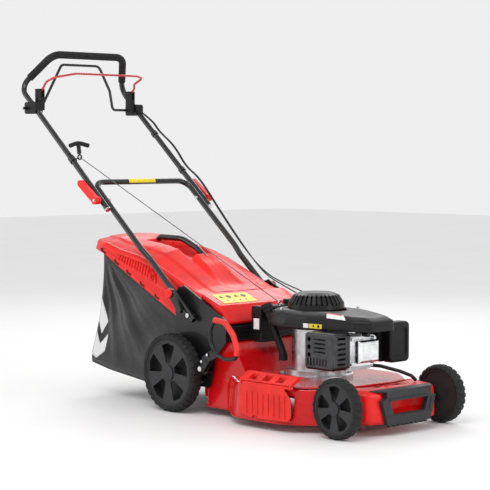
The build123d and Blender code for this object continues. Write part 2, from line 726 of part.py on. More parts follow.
def cam_bolts():
    """Cross bolts of the fold joint and the plastic end caps of the upper tubes."""
    fold = handle_point(CAM_S)
    pieces = []
    for side in SIDES:
        bolt = rod_y((fold[0], fold[2]), side * 219, side * 285, 4)
        pieces.append(bolt + rod_y((fold[0], fold[2]), side * 214, side * 220.5, 7))
        end = Vector(*handle_point(565, side * UPPER_Y))
        beyond = Vector(*handle_point(560, side * UPPER_Y))
        spigot = rod(end, handle_point(575, side * UPPER_Y), TUBE_R - TUBE_WALL)
        pieces.append(rod(end, beyond, TUBE_R) + spigot)
    return pieces


def cam_lever(side):
    """Quick lever of the fold joint, lying along the tube."""
    start = handle_point(CAM_S, side * 282)
    fold = (start[0], start[2])
    arm = slab_y(
        [handle_xz(CAM_S - 4, 13), handle_xz(CAM_S + 112, 2), handle_xz(CAM_S + 124, -12)]
        + [handle_xz(CAM_S + 112, -24), handle_xz(CAM_S + 40, -18), handle_xz(CAM_S - 6, -13)],
        *sorted((side * 271, side * 289)),
        [4, 8, 8, 8, 30, 4],
    )
    head = rod_y(fold, side * 267.5, side * 291, 15)
    lever = arm + head
    return lever - rod_y(fold, side * 260, side * 285.5, 4 + RUNNING)


def handle_xz(distance, off):
    """X and Z of a point on or beside the handle's side line."""
    x, _, z = handle_point(distance, 0, off)
    return (x, z)


QUICK_PIVOT = (-12.0, 424.0)


def quick_release(side):
    """Lower quick lever that locks the handle's angle, lying down along the bracket."""
    points = [(-30, 444), (-4, 438), (24, 408), (50, 368), (44, 356), (32, 356), (-6, 400), (-34, 428)]
    lever = slab_y(points, *sorted((side * 241, side * 255)), [6, 8, 30, 5, 4, 5, 30, 6])
    head = rod_y(QUICK_PIVOT, side * 238, side * 260, 15)
    return lever + head


# ---- controls -------------------------------------------------------------------------------
def control_housing(side):
    """Clamp on the tube that carries both bails."""
    clamp = fillet(block(-856, -786, side * 236, side * 272, 1076, 1122).edges().filter_by(Axis.Y), 10)
    stalk = block(-834, -796, side * 215.5, side * 240, 1090, 1174)
    stalk = fillet(stalk.edges().filter_by(Axis.Z), 6)
    stalk -= block(-860, -770, side * 222, side * 232, 1140, 1190)
    body = clamp + stalk
    body -= rod(handle_point(1040, side * UPPER_Y), handle_point(1230, side * UPPER_Y), TUBE_R + 0.1)
    body -= rod_y(BAIL_AXIS, side * 190, side * 300, DRIVE_WIRE_R + RUNNING)
    pin = rod_y(BRAKE_AXIS, side * 217, side * 238, 2.5)
    return body + pin


def bail_point(axis, angle, y, radius):
    """A point of a flat bail, a distance from its axis in a plane at an angle to +X."""
    turn = math.radians(angle)
    return (axis[0] + radius * math.cos(turn), y, axis[1] + radius * math.sin(turn))


def drive_bail():
    """Black bail that engages the drive."""
    shape = [(-290, 0), (-206, 0), (-80, 180), (108, 180), (150, 78), (154, 0), (262, 0)]
    points = [bail_point(BAIL_AXIS, 100, y, r) for y, r in shape]
    return bent_bar(points, [16, 26, 26, 22, 16], DRIVE_WIRE_R)


def brake_bail():
    """Red bail that releases the engine brake."""
    shape = [(-227, 8), (-226, 62), (-200, 84), (-104, 107), (206, 106)]
    shape += [(240, 96), (214, 62), (227, 42), (227, 8)]
    points = [bail_point(BRAKE_AXIS, 48, y, r) for y, r in shape]
    wire = bent_bar(points, [14, 40, 60, 60, 8, 10, 8], BRAKE_WIRE_R)
    for side in SIDES:
        wire += rod_y(BRAKE_AXIS, side * 223.2, side * 230.8, 9)
        wire -= rod_y(BRAKE_AXIS, side * 210, side * 240, 2.5 + RUNNING)
    return wire


GUIDE = Vector(-566, -226, 908)
ROPE_END = Vector(366, -72, 403)
PULL = Vector(-0.29, 0.10, 0.95).normalized()


def handle_clips():
    """Rope guide on the right tube and cable clips on the left tube."""
    along = (Vector(*handle_point(900)) - Vector(*handle_point(800))).normalized()
    foot = Vector(*handle_point(845, -UPPER_Y))
    band = rod(foot - along * 12, foot + along * 12, TUBE_R + 3)
    band -= rod(foot - along * 20, foot + along * 20, TUBE_R)
    arm = rod(foot + Vector(4, 12, 4), GUIDE + Vector(-8, -3, -4), 3)
    eye = Pos(GUIDE.X, GUIDE.Y, GUIDE.Z) * Rot(0, 90, 0) * Torus(8.5, 3)
    guide = (band + arm + eye) - rod(foot - along * 20, foot + along * 20, TUBE_R)
    clips = []
    for distance in (1001, 779):
        middle = Vector(*handle_point(distance, UPPER_Y))
        ring = rod(middle - along * 8, middle + along * 8, TUBE_R + 3)
        clips.append(ring - rod(middle - along * 10, middle + along * 10, TUBE_R))
    return [guide] + clips


def starter_grip():
    """T-shaped starter handle above the guide."""
    base = GUIDE + PULL * 14
    top = GUIDE + PULL * 50
    stem = rod(base, top, 8)
    left = top + Vector(6, 44, -4)
    right = top + Vector(6, -44, -4)
    bar = bent_bar([left, top + PULL * 8, right], [60], 8.5)
    return stem + bar


def starter_rope():
    """Starter rope pulled straight from the recoil cover to the guide."""
    along = (GUIDE - ROPE_END).normalized()
    return rod(ROPE_END - along * 4, GUIDE, 1.8)


CABLE_OFFSETS = ((0, 17.5), (6, 17.5))


def control_cables():
    """Brake and drive cables along the outside of the left tubes, down to the engine and gearbox."""
    cables = []
    for index, (shift, off) in enumerate(CABLE_OFFSETS):
        out = UPPER_Y + 8 + shift
        points = [handle_point(1128, 250 + shift, 14), handle_point(1050, out, off + 8)]
        points += [handle_point(1001, out, off), handle_point(890, out + 3, off + 16)]
        points += [handle_point(779, out, off), handle_point(700, out + 8, off + 14)]
        points.append(handle_point(500, LOWER_Y + 18 + shift, off + 10))
        points.append(handle_point(311, LOWER_Y + 12 + shift, off))
        if index == 0:
            points += [(-20, 226, 474), (90, 217, 440), (190, 212, 418), (262, 196, 398), (318, 156, 374)]
        else:
            points += [(-30, 233, 468), (80, 225, 431), (180, 219, 400), (246, 204, 360), (290, 164, 318)]
        path_radii = cord_radii(points)
        cables.append(bent_bar(points, path_radii, 2.4))
    return cables


def cord_radii(points):
    """Arcs as large as the runs beside each corner allow."""
    radii = []
    for before, at, after in zip(points, points[1:], points[2:]):
        first = Vector(*at) - Vector(*before)
        second = Vector(*after) - Vector(*at)
        turn = math.radians(first.get_angle(second))
        radii.append(0.45 * min(first.length, second.length) / math.tan(turn / 2))
    return radii


# ---- write every node -----------------------------------------------------------------------
def main():
    os.makedirs("parts", exist_ok=True)
    save("deck_shell", deck_shell())
    save("front_cover", front_cover())
    save("front_bumper", front_bumper())
    save("side_brackets", *side_brackets(), *height_quadrant())
    save("rear_chute", rear_chute(), *rear_crossbars())
    save("door_bracket", door_bracket())
    save("side_door", side_door())
    save("hinge_pins", *hinge_pins())
    save("crankcase", crankcase())
    save("cylinder_block", cylinder_block())
    save("cylinder_head_cover", cylinder_head_cover())
    save("spark_plug", spark_plug())
    save("muffler", muffler())
    save("muffler_guard", muffler_guard())
    save("carburettor", carburettor())
    save("air_filter_box", *air_filter_box())
    save("fuel_tank", *fuel_tank())
    save("oil_filler_tube", oil_filler_tube())
    save("oil_dipstick", oil_dipstick())
    save("engine_cowl", engine_cowl())
    save("recoil_cover", recoil_cover())
    save("fasteners", *fasteners())
    save("support_rod", support_rod())
    save("crankshaft", crankshaft())
    save("flywheel", flywheel())
    save("blade_adapter", *blade_adapter())
    save("blade", blade())
    wheels = (
        ("rear", REAR_AXLE, REAR_R, REAR_WHEEL_IN),
        ("front", FRONT_AXLE, FRONT_R, FRONT_WHEEL_IN),
    )
    for name, centre, radius, inside in wheels:
        for side, hand in ((-1, "right"), (1, "left")):
            width = WHEEL_OUT - inside
            save(f"{name}_tyre_{hand}", tyre(side, centre, radius, inside, width))
            save(f"{name}_rim_{hand}", rim(side, centre, radius, inside, width))
    save("rear_axle", rear_axle())
    save("front_axle", front_axle())
    save("gearbox", gearbox())
    save("height_lever", height_lever())
    save("height_lever_grip", height_lever_grip())
    save("rear_flap", rear_flap())
    save("bag_lid", bag_lid())
    save("bag_fabric", bag_fabric())
    save("bag_frame", bag_frame())
    save("bag_handle", bag_handle())
    save("lower_handle", lower_handle())
    save("upper_handle", upper_handle())
    save("foam_grip", foam_grip())
    save("cam_bolts", *cam_bolts())
    for side, hand in ((-1, "right"), (1, "left")):
        save(f"cam_lever_{hand}", cam_lever(side))
        save(f"quick_release_{hand}", quick_release(side))
    save("control_housings", *[control_housing(side) for side in SIDES])
    save("drive_bail", drive_bail())
    save("brake_bail", brake_bail())
    save("handle_clips", *handle_clips())
    save("starter_grip", starter_grip())
    save("starter_rope", starter_rope())
    save("control_cables", *control_cables())


main()
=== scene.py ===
"""Push lawn mower: finishes, soft parts, cords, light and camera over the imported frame."""
import math

import bmesh
import bpy
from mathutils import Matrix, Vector, noise


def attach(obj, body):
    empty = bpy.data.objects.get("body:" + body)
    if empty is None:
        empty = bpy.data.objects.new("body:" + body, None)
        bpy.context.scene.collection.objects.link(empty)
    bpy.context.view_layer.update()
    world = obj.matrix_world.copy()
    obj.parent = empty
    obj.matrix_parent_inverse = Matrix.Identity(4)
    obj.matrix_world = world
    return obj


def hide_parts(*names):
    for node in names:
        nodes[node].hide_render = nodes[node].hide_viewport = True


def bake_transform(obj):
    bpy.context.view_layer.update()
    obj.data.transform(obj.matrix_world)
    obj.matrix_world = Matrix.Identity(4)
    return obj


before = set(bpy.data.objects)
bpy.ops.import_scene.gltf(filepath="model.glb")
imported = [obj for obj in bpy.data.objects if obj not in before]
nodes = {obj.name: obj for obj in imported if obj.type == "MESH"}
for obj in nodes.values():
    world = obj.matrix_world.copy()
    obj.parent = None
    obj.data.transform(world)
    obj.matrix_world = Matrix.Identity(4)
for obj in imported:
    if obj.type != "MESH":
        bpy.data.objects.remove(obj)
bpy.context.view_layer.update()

# Sizes are in millimetres unless a comment says otherwise. X is measured forwards from the rear axle.
SHIFT = -10.13  # from the rear axle to the origin of the frame
HANDLE_ANGLE = math.radians(40.63)
HANDLE_PIVOT_X, HANDLE_PIVOT_Z = 67, 348
HANDLE_JOINT = 614  # from the pivot to the joint between the two halves of the handle
REAR_RADIUS, FRONT_RADIUS = 140, 100
FRONT_AXLE_X = 819
TYRE_OUTSIDE = 278
CRANK_X = 472
HANDS = (("right", -1), ("left", 1))
FORWARDS, LEFT, UP = (1, 0, 0), (0, 1, 0), (0, 0, 1)


def at(x, y, z):
    """A point given in millimetres from the rear axle, as metres from the frame's origin."""
    return Vector(((x + SHIFT) / 1000, y / 1000, z / 1000))


def up_handle(distance, y=0.0, off=0.0):
    """A point along the handle from its lower pivot, off to the upper side."""
    c, s = math.cos(HANDLE_ANGLE), math.sin(HANDLE_ANGLE)
    return (HANDLE_PIVOT_X - distance * c + off * s, y, HANDLE_PIVOT_Z + distance * s + off * c)


def smooth(a, b, value):
    """0 below a, 1 above b, and a smooth step between them."""
    t = min(1.0, max(0.0, (value - a) / (b - a)))
    return t * t * (3 - 2 * t)


def lerp(first, second, t):
    """The tuple a part t of the way from one to another."""
    return tuple(a + (b - a) * t for a, b in zip(first, second))


def between(stations, value):
    """What a table of stations gives for a value of its first column."""
    for first, second in zip(stations, stations[1:]):
        if first[0] <= value <= second[0]:
            return lerp(first[1:], second[1:], (value - first[0]) / (second[0] - first[0]))
    return stations[-1][1:]


# ---- materials ------------------------------------------------------------------------------
BEVEL_SAMPLES = 4


class Finish:
    """A procedural material built up one layer at a time."""

    def __init__(self, name, color, rough, **sockets):
        self.material = bpy.data.materials.new(name)
        self.material.use_nodes = True
        self.tree = self.material.node_tree
        self.shader = self.tree.nodes["Principled BSDF"]
        self.shader.inputs["Base Color"].default_value = (*color, 1)
        self.shader.inputs["Roughness"].default_value = rough
        for key, value in sockets.items():
            self.shader.inputs[key.replace("_", " ")].default_value = value
        self.color = color
        self.painted = color
        self.rough = rough
        self.coord = self.add("ShaderNodeTexCoord").outputs["Object"]
        self.normal = None

    def add(self, kind, **values):
        """A new node, with its sockets and settings."""
        node = self.tree.nodes.new(kind)
        for key, value in values.items():
            if key in node.inputs:
                node.inputs[key].default_value = value
            else:
                setattr(node, key, value)
        return node

    def link(self, output, target):
        """Joins an output to a socket."""
        self.tree.links.new(output, target)

    def combine(self, operation, first, second):
        """The output of a calculation on two outputs."""
        node = self.add("ShaderNodeMath", operation=operation)
        self.link(first, node.inputs[0])
        self.link(second, node.inputs[1])
        return node.outputs[0]

    def noise(self, scale, detail, rough=0.6, stretch=None):
        """Cloudy noise that stays with the object."""
        node = self.add("ShaderNodeTexNoise", Scale=scale, Detail=detail, Roughness=rough)
        source = self.coord
        if stretch:
            mapping = self.add("ShaderNodeMapping", Scale=stretch)
            self.link(self.coord, mapping.inputs["Vector"])
            source = mapping.outputs["Vector"]
        self.link(source, node.inputs["Vector"])
        return node.outputs["Fac"]

    def ramp(self, value, low, high, first=0.0, last=1.0):
        """A value between low and high, mapped to run from first to last."""
        node = self.add("ShaderNodeMapRange")
        for index, number in enumerate((low, high, first, last), 1):
            node.inputs[index].default_value = number
        self.link(value, node.inputs[0])
        return node.outputs[0]

    def mix(self, factor, first, second):
        """A colour between two, each a colour or an output."""
        node = self.add("ShaderNodeMix", data_type="RGBA")
        self.link(factor, node.inputs[0])
        for value, socket in ((first, node.inputs[6]), (second, node.inputs[7])):
            if isinstance(value, tuple):
                socket.default_value = (*value, 1)
            else:
                self.link(value, socket)
        return node.outputs[2]

    def paint(self, output):
        """Takes the colour from an output."""
        self.link(output, self.shader.inputs["Base Color"])
        self.painted = output
        return self

    def mottle(self, amount, scale, detail=6.0):
        """Uneven colour: darker and lighter by an amount."""
        factor = self.ramp(self.noise(scale, detail), 0.35, 0.65)
        dark = tuple(c * (1 - amount) for c in self.color)
        light = tuple(min(1.0, c * (1 + amount)) for c in self.color)
        return self.paint(self.mix(factor, dark, light))

    def gloss(self, spread, scale):
        """Uneven roughness."""
        least = max(0.02, self.rough - spread)
        value = self.ramp(self.noise(scale, 5), 0.3, 0.7, least, self.rough + spread)
        self.link(value, self.shader.inputs["Roughness"])
        return self

    def set_normal(self, node):
        """Takes the shading normal from a node."""
        self.normal = node.outputs["Normal"]
        self.link(self.normal, self.shader.inputs["Normal"])
        return self

    def bump(self, height, strength, distance):
        """Fine relief on top of what is there; the distance is in metres."""
        node = self.add("ShaderNodeBump", Strength=strength, Distance=distance)
        self.link(height, node.inputs["Height"])
        if self.normal:
            self.link(self.normal, node.inputs["Normal"])
        return self.set_normal(node)

    def soft(self, radius):
        """Edges that catch the light, as moulded and pressed parts have; the radius is in metres."""
        return self.set_normal(self.add("ShaderNodeBevel", samples=BEVEL_SAMPLES, Radius=radius))

    def worn(self, color, radius, amount):
        """Rubbed edges in a second colour."""
        bevel = self.add("ShaderNodeBevel", samples=BEVEL_SAMPLES, Radius=radius)
        geometry = self.add("ShaderNodeNewGeometry")
        dot = self.add("ShaderNodeVectorMath", operation="DOT_PRODUCT")
        self.link(bevel.outputs["Normal"], dot.inputs[0])
        self.link(geometry.outputs["Normal"], dot.inputs[1])
        edge = self.ramp(dot.outputs["Value"], 0.995, 0.88, 0.0, amount)
        patches = self.ramp(self.noise(160, 3), 0.4, 0.62)
        return self.paint(self.mix(self.combine("MULTIPLY", edge, patches), self.painted, color))


def paint_finish(name, color, coat, rough, specular=0.5):
    """Sprayed and lacquered steel with a faint orange peel."""
    f = Finish(name, color, rough, Coat_Weight=coat, Coat_Roughness=0.04, Specular_IOR_Level=specular)
    f.mottle(0.1, 9).gloss(0.05, 30).soft(0.0009)
    f.bump(f.noise(420, 2), 0.02, 0.0003)
    return f


def moulded_finish(name, color, rough, grain, coat=0.0, edge=None):
    """Injection moulded plastic with a fine grain."""
    f = Finish(name, color, rough, Coat_Weight=coat, Coat_Roughness=0.12, Specular_IOR_Level=0.26)
    f.mottle(0.14, 11).gloss(0.07, 26).soft(0.0008)
    f.worn(edge or tuple(min(1.0, c * 1.7 + 0.02) for c in color), 0.0012, 0.35)
    f.bump(f.noise(1500, 3, 0.7), grain, 0.0003)
    f.bump(f.noise(60, 2), 0.03, 0.002)
    return f


def metal_finish(name, color, rough, grain, stretch=None, edge=None):
    """Bare metal, brushed where stretched and cast where not."""
    f = Finish(name, color, rough, Metallic=1.0)
    f.mottle(0.18, 24, 8).gloss(0.1, 60).soft(0.0006)
    if edge:
        f.worn(edge, 0.0012, 0.5)
    f.bump(f.noise(700, 5, 0.7, stretch), grain, 0.0004)
    return f


RED_EDGE = (0.86, 0.04, 0.03)
deck_paint = paint_finish("deck_paint", (0.62, 0.004, 0.006), 0.3, 0.26, 0.22)
deck_paint.bump(deck_paint.noise(26, 2), 0.03, 0.003)
lid_red = moulded_finish("lid_red", (0.74, 0.009, 0.006), 0.36, 0.06, 0.08, RED_EDGE)
cover_red = moulded_finish("cover_red", (0.72, 0.008, 0.007), 0.34, 0.05, 0.1, RED_EDGE)
door_red = moulded_finish("door_red", (0.74, 0.02, 0.016), 0.42, 0.16, 0.0, (0.86, 0.08, 0.06))
grip_red = moulded_finish("grip_red", (0.74, 0.035, 0.028), 0.42, 0.2, 0.0, (0.86, 0.12, 0.09))
black_plastic = moulded_finish("black_plastic", (0.007, 0.007, 0.008), 0.42, 0.3)
gloss_black = moulded_finish("gloss_black", (0.008, 0.008, 0.009), 0.2, 0.05, 0.5)
engine_plastic = moulded_finish("engine_plastic", (0.009, 0.009, 0.01), 0.36, 0.34)
bumper_plastic = moulded_finish("bumper_plastic", (0.03, 0.031, 0.034), 0.5, 0.4)
rim_plastic = moulded_finish("rim_plastic", (0.028, 0.028, 0.03), 0.42, 0.3)
bracket_paint = paint_finish("bracket_paint", (0.006, 0.006, 0.007), 0.2, 0.38, 0.3)
tube_paint = paint_finish("tube_paint", (0.004, 0.004, 0.005), 0.5, 0.25, 0.35)
bail_paint = paint_finish("bail_paint", (0.5, 0.004, 0.006), 0.7, 0.25)
zinc = metal_finish("zinc", (0.62, 0.63, 0.64), 0.3, 0.12, None, (0.9, 0.9, 0.9))
blade_steel = metal_finish("blade_steel", (0.3, 0.3, 0.31), 0.35, 0.25, (0.1, 1, 1), (0.7, 0.7, 0.72))
aluminium = metal_finish("aluminium", (0.6, 0.61, 0.63), 0.34, 0.25, None, (0.9, 0.9, 0.92))
bright_cap = metal_finish("bright_cap", (0.85, 0.86, 0.88), 0.18, 0.1, None, (0.97, 0.97, 0.98))
iron = metal_finish("iron", (0.12, 0.12, 0.125), 0.5, 0.5)
guard_metal = metal_finish("guard_metal", (0.07, 0.07, 0.075), 0.36, 0.3, None, (0.35, 0.35, 0.36))

rubber = Finish("rubber", (0.014, 0.014, 0.015), 0.72, Specular_IOR_Level=0.3)
rubber.mottle(0.3, 18, 8).gloss(0.12, 40).soft(0.0009).worn((0.07, 0.068, 0.064), 0.0018, 0.5)
rubber.bump(rubber.noise(900, 4, 0.7), 0.35, 0.0004)

foam = Finish("foam", (0.018, 0.018, 0.019), 0.85, Specular_IOR_Level=0.25)
foam.mottle(0.25, 40, 6)
cells = foam.add("ShaderNodeTexVoronoi", Scale=1100.0)
foam.link(foam.coord, cells.inputs["Vector"])
foam.bump(cells.outputs["Distance"], 0.5, 0.0005)


def woven(name, color, light, scale=620.0):
    """Plain weave that crosses in all three planes, with dust and uneven dye."""
    f = Finish(name, color, 0.82, Specular_IOR_Level=0.25)
    f.shader.inputs["Sheen Weight"].default_value = 0.35
    f.shader.inputs["Sheen Roughness"].default_value = 0.5
    threads = []
    for axis in ("X", "Y", "Z"):
        wave = f.add("ShaderNodeTexWave", bands_direction=axis, Scale=scale, Distortion=0.6)
        f.link(f.coord, wave.inputs["Vector"])
        threads.append(wave.outputs["Fac"])
    weave = f.combine("ADD", f.combine("MAXIMUM", threads[0], threads[1]), threads[2])
    cloud = f.mix(f.ramp(f.noise(7, 8), 0.35, 0.7), color, light)
    gaps = tuple(c * 0.45 for c in color)
    f.paint(f.mix(f.ramp(weave, 0.2, 1.8, 0.0, 0.5), cloud, gaps))
    f.bump(weave, 0.4, 0.0004)
    f.bump(f.noise(30, 5), 0.18, 0.006)
    return f


cloth = woven("bag_cloth", (0.012, 0.012, 0.013), (0.028, 0.028, 0.03))
stripe = woven("bag_stripe", (0.86, 0.86, 0.86), (0.92, 0.92, 0.92))
piping = woven("bag_piping", (0.006, 0.006, 0.006), (0.015, 0.015, 0.015), 900)
rope_finish = woven("rope_braid", (0.035, 0.035, 0.037), (0.3, 0.3, 0.3), 260)
jacket = moulded_finish("cable_jacket", (0.008, 0.008, 0.008), 0.35, 0.1)
white_film = moulded_finish("white_film", (0.78, 0.78, 0.76), 0.35, 0.04)
yellow_film = moulded_finish("yellow_film", (0.8, 0.62, 0.03), 0.35, 0.04)
ink = moulded_finish("ink", (0.015, 0.015, 0.015), 0.4, 0.04)

FINISHES = {
    deck_paint: ("deck_shell",),
    cover_red: ("front_cover", "rear_flap"),
    lid_red: ("bag_lid",),
    door_red: ("door_bracket", "side_door", "cam_lever_right", "cam_lever_left"),
    grip_red: ("height_lever_grip",),
    black_plastic: ("rear_chute", "carburettor", "air_filter_box", "fuel_tank", "oil_filler_tube",
                    "oil_dipstick", "control_housings", "bag_frame", "starter_grip"),
    gloss_black: ("bag_handle", "quick_release_right", "quick_release_left"),
    engine_plastic: ("engine_cowl", "recoil_cover"),
    bumper_plastic: ("front_bumper",),
    bracket_paint: ("side_brackets", "height_lever", "support_rod", "rear_axle", "front_axle",
                    "spark_plug"),
    tube_paint: ("lower_handle", "upper_handle", "drive_bail", "handle_clips"),
    bail_paint: ("brake_bail",),
    zinc: ("hinge_pins", "fasteners", "crankshaft", "cam_bolts", "blade_adapter"),
    blade_steel: ("blade",),
    aluminium: ("crankcase", "cylinder_block", "gearbox"),
    bright_cap: ("cylinder_head_cover",),
    iron: ("flywheel",),
    guard_metal: ("muffler", "muffler_guard"),
    rubber: ("rear_tyre_right", "rear_tyre_left", "front_tyre_right", "front_tyre_left"),
    rim_plastic: ("rear_rim_right", "rear_rim_left", "front_rim_right", "front_rim_left"),
    foam: ("foam_grip",),
    cloth: ("bag_fabric",),
    rope_finish: ("starter_rope",),
    jacket: ("control_cables",),
}
for finish, members in FINISHES.items():
    for name in members:
        nodes[name].data.materials.clear()
        nodes[name].data.materials.append(finish.material)


# ---- mesh helpers ---------------------------------------------------------------------------
def mesh_object(name, points, faces, finish, angle):
    """A new object from points in metres, sharp where faces meet at more than an angle."""
    mesh = bpy.data.meshes.new(name)
    mesh.from_pydata(points, [], faces)
    mesh.materials.append(finish.material)
    mesh.shade_smooth()
    mesh.set_sharp_from_angle(angle=math.radians(angle))
    obj = bpy.data.objects.new(name, mesh)
    bpy.context.scene.collection.objects.link(obj)
    return obj


def piece(name, points, faces, finish, body=None, angle=40.0):
    """A new mesh piece from points in millimetres."""
    obj = mesh_object(name, [at(*p) for p in points], faces, finish, angle)
    if body:
        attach(obj, body)
    return obj


def skin(rows, closed=False, caps=False):
    """Points and quads of a surface through rows of equally many points."""
    points = [p for row in rows for p in row]
    n = len(rows[0])
    faces = []
    for i in range(len(rows) - 1):
        for j in range(n if closed else n - 1):
            k = (j + 1) % n
            faces.append((i * n + j, i * n + k, (i + 1) * n + k, (i + 1) * n + j))
    if caps:
        faces.append(tuple(range(n))[::-1])
        faces.append(tuple(range((len(rows) - 1) * n, len(rows) * n)))
    return points, faces


def face_outwards(obj, weld=0.0):
    """Turns all faces outwards, after joining points that are closer than a distance in metres."""
    bm = bmesh.new()
    bm.from_mesh(obj.data)
    if weld:
        bmesh.ops.remove_doubles(bm, verts=bm.verts, dist=weld)
    bmesh.ops.recalc_face_normals(bm, faces=bm.faces)
    bm.to_mesh(obj.data)
    bm.free()


def read_mesh(obj):
    """The mesh an object has once its modifiers or its curve are worked out."""
    graph = bpy.context.evaluated_depsgraph_get()
    return bpy.data.meshes.new_from_object(obj.evaluated_get(graph))


def finish_mesh(obj, thickness=0.0, levels=0, bevel=0.0):
    """Adds wall thickness, smoothing and round edges, and makes them part of the mesh."""
    if thickness:
        modifier = obj.modifiers.new("wall", "SOLIDIFY")
        modifier.thickness = thickness / 1000
        modifier.offset = -1
    if bevel:
        modifier = obj.modifiers.new("edges", "BEVEL")
        modifier.width = bevel / 1000
        modifier.segments = 3
        modifier.limit_method = "ANGLE"
        modifier.angle_limit = math.radians(35)
    if levels:
        modifier = obj.modifiers.new("smooth", "SUBSURF")
        modifier.levels = modifier.render_levels = levels
    bpy.context.view_layer.update()
    mesh = read_mesh(obj)
    obj.modifiers.clear()
    obj.data = mesh


def route_points(name, points):
    """Points in metres along the smooth line of a cord whose run has these control points."""
    curve = bpy.data.curves.new(name, "CURVE")
    curve.dimensions = "3D"
    spline = curve.splines.new("NURBS")
    spline.points.add(len(points) - 1)
    for target, p in zip(spline.points, points):
        target.co = (*at(*p), 1)
    spline.order_u = 3
    spline.use_endpoint_u = True
    curve.resolution_u = 14
    obj = bpy.data.objects.new(name, curve)
    bpy.context.scene.collection.objects.link(obj)
    mesh = read_mesh(obj)
    line = [v.co.copy() for v in mesh.vertices]
    bpy.data.objects.remove(obj)
    bpy.data.meshes.remove(mesh)
    return line


def tube_mesh(name, line, radius, finish, sides, twist=None):
    """A round tube along points in metres; twist is the lay of a rope's three strands, in metres."""
    rows = []
    side = Vector(UP)
    length = 0.0
    for i, p in enumerate(line):
        tangent = (line[min(i + 1, len(line) - 1)] - line[max(i - 1, 0)]).normalized()
        side = (side - tangent * side.dot(tangent)).normalized()
        other = tangent.cross(side)
        if i:
            length += (p - line[i - 1]).length
        row = []
        for k in range(sides):
            a = 2 * math.pi * k / sides
            r = radius / 1000
            if twist:
                r *= 0.9 + 0.1 * math.cos(3 * (a + length / twist * 2 * math.pi))
            row.append(p + (side * math.cos(a) + other * math.sin(a)) * r)
        rows.append(row)
    points, faces = skin(rows, True, True)
    return mesh_object(name, points, faces, finish, 60)


CORNER_STEPS = 8


def rounded(points, radii, count):
    """A closed outline with round corners, as equally spaced points."""
    line = []
    n = len(points)
    for i, (x, y) in enumerate(points):
        p = Vector((x, y))
        a = Vector(points[i - 1]) - p
        b = Vector(points[(i + 1) % n]) - p
        turn = math.pi - a.angle(b)
        cut = min(radii[i] * math.tan(turn / 2), a.length * 0.499, b.length * 0.499)
        start, end = p + a.normalized() * cut, p + b.normalized() * cut
        for k in range(CORNER_STEPS + 1):
            t = k / CORNER_STEPS
            line.append(start * (1 - t) ** 2 + p * 2 * t * (1 - t) + end * t * t)
    lengths = [0.0]
    for i in range(len(line)):
        lengths.append(lengths[-1] + (line[(i + 1) % len(line)] - line[i]).length)
    result = []
    j = 0
    for k in range(count):
        want = lengths[-1] * k / count
        while lengths[j + 1] < want:
            j += 1
        t = (want - lengths[j]) / max(1e-9, lengths[j + 1] - lengths[j])
        result.append(line[j].lerp(line[(j + 1) % len(line)], t))
    return result


# ---- tyres ----------------------------------------------------------------------------------
LUG_STEPS = 8  # rows of points round the tyre for each lug
TREAD_RIB = 0.22  # share of the half width taken by the rib in the middle
LUG_CUT, SHOULDER_CUT, RIB_CUT = 4.2, 2.0, 1.4  # depths of the grooves in a rear tyre
TYRE_SHARP = 28  # degrees


def tyre(name, body, x, radius, inside, outside, lugs):
    """Tyre with a ribbed middle and chunky shoulder lugs, standing on the floor."""
    seat = radius * 0.84 + 0.2
    half = abs(outside - inside) / 2
    middle = (outside + inside) / 2
    depth = 1 if radius == REAR_RADIUS else 0.85
    profile = [(seat, -half + 1.5), (seat + 2, -half + 0.4), (radius * 0.91, -half),
               (radius - 9, -half + 0.5), (radius - 3.5, -half + 4), (radius - 1, -half + 8),
               (radius, -half + 12), (radius, -half + 16), (radius, -1.6), (radius, 1.6)]
    profile += [(r, -v) for r, v in reversed(profile[:-2])]
    steps = lugs * LUG_STEPS
    rows = []
    for step in range(steps):
        angle = 2 * math.pi * step / steps
        phase = (step % LUG_STEPS) / LUG_STEPS
        row = []
        for r, v in profile:
            cut = 0.0
            across = abs(v) / half
            sway = phase + (0.5 if v > 0 else 0.0)
            if across > TREAD_RIB and r > radius * 0.9:
                if sway % 1.0 in (0.0, 0.125, 0.25):
                    cut = LUG_CUT if r > radius - 5 else SHOULDER_CUT
            elif across <= TREAD_RIB:
                cut = RIB_CUT if step % 4 < 2 else 0.0
            reach = r - cut * depth
            row.append((x + reach * math.cos(angle), middle + v, radius + reach * math.sin(angle)))
        rows.append(row)
    rows.append(rows[0])
    points, faces = skin(rows, True)
    obj = piece(name, points, faces, rubber, angle=TYRE_SHARP)
    face_outwards(obj, 0.00001)
    obj.data.set_sharp_from_angle(angle=math.radians(TYRE_SHARP))
    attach(obj, body)
    return obj


for hand, side in HANDS:
    for axle, x, radius, inside, lugs in (("rear", 0, REAR_RADIUS, 228, 34),
                                          ("front", FRONT_AXLE_X, FRONT_RADIUS, 235, 26)):
        tread = tyre(f"tyre_tread_{axle}_{hand}", f"{axle}_wheel_{hand}", x, radius, side * inside,
                     side * TYRE_OUTSIDE, lugs)
        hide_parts(f"{axle}_tyre_{hand}")


# ---- grass bag ------------------------------------------------------------------------------
LID_FOOT, LID_FOOT_Z = -456, 548  # where the lid's lower edge levels out towards the rear
LID_MOUTH, LID_MOUTH_Z = 46, 300  # where the lower edge ends at the mouth of the bag
LID_SLOPE = (LID_FOOT_Z - LID_MOUTH_Z) / (LID_MOUTH - LID_FOOT)
LID_SIDE = 0.28  # share of the way from the lower edge to the crown taken by the side
LID_CORNER = 0.2  # share of the rest taken by the round shoulder
CORNER_WIDE, CORNER_HIGH = 16, 14
